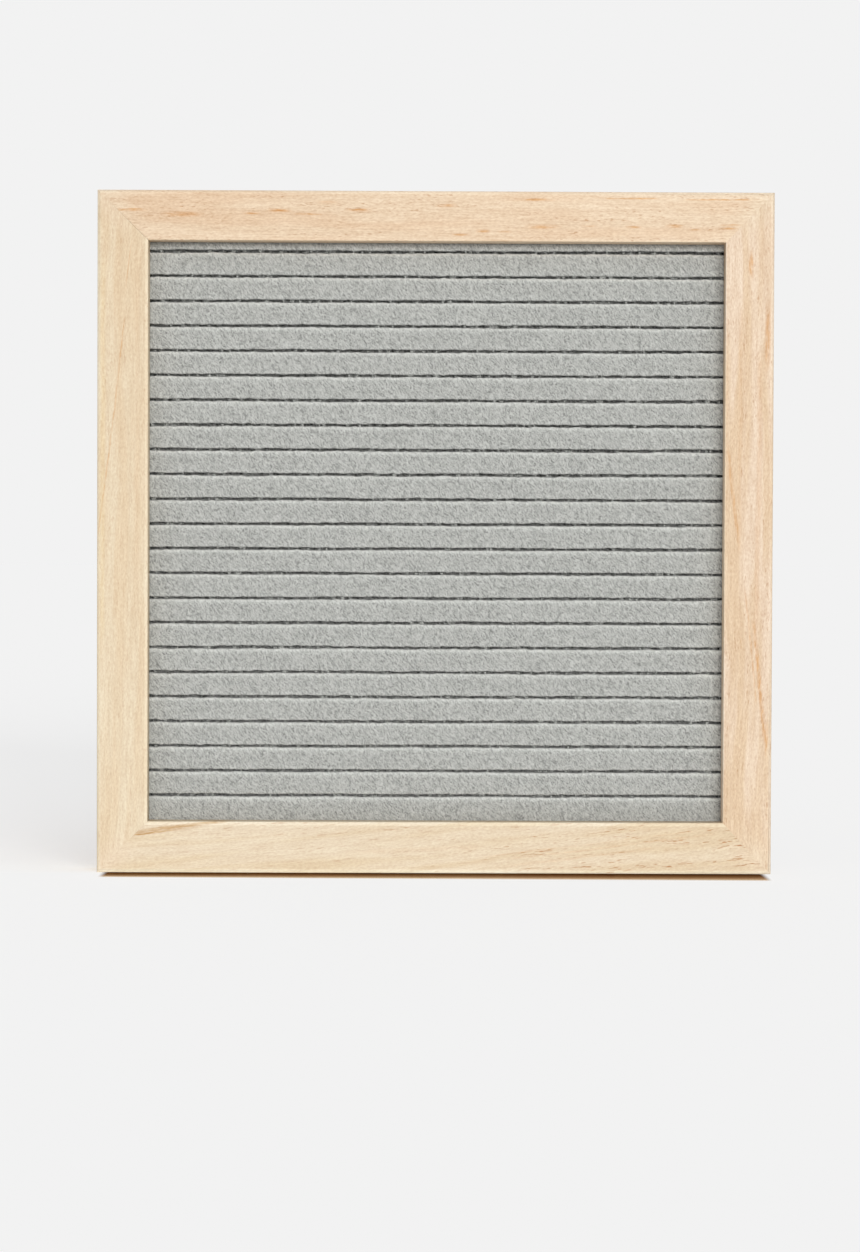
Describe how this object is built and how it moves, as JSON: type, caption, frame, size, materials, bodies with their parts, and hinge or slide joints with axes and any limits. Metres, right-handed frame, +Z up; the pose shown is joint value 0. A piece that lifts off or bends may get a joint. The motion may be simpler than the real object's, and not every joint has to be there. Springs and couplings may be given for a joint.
{
  "type": "felt letter board",
  "caption": "Square wooden-framed board of grey felt tucked into level slots that grip push-in letters, with a sawtooth hanger on its back.",
  "frame": {"origin": "middle of the object's box in plan, at the foot of the bottom rail, where it stands on a table", "axes": "+Z up, +X to the right of someone who looks at the felt, -Y out of the felt towards that person"},
  "size_m": [0.254, 0.0212, 0.2563],
  "materials": {
    "frame_wood": "unfinished pale wood, planed smooth, fine straight grain",
    "felt": "matte grey felt with short loose fibres",
    "fibreboard": "raw fibreboard",
    "hardboard": "smooth brown hardboard",
    "fastener_steel": "plain bright steel",
    "hanger_steel": "zinc-plated steel"
  },
  "bodies": {
    "root": {"frame_top_rail": "frame_wood", "frame_bottom_rail": "frame_wood", "frame_left_rail": "frame_wood", "frame_right_rail": "frame_wood", "felt_sheet": "felt", "core_board": "fibreboard", "backing_panel": "hardboard", "point_bottom_left": "fastener_steel", "point_bottom_right": "fastener_steel", "point_left_lower": "fastener_steel", "point_left_upper": "fastener_steel", "point_right_lower": "fastener_steel", "point_right_upper": "fastener_steel", "point_top_left": "fastener_steel", "point_top_right": "fastener_steel", "v_nail_bottom_left_inner": "fastener_steel", "v_nail_bottom_left_outer": "fastener_steel", "v_nail_bottom_right_inner": "fastener_steel", "v_nail_bottom_right_outer": "fastener_steel", "v_nail_top_left_inner": "fastener_steel", "v_nail_top_left_outer": "fastener_steel", "v_nail_top_right_inner": "fastener_steel", "v_nail_top_right_outer": "fastener_steel", "hanger_plate": "hanger_steel", "hanger_nail_left": "hanger_steel", "hanger_nail_right": "hanger_steel"}
  },
  "joints": []
}
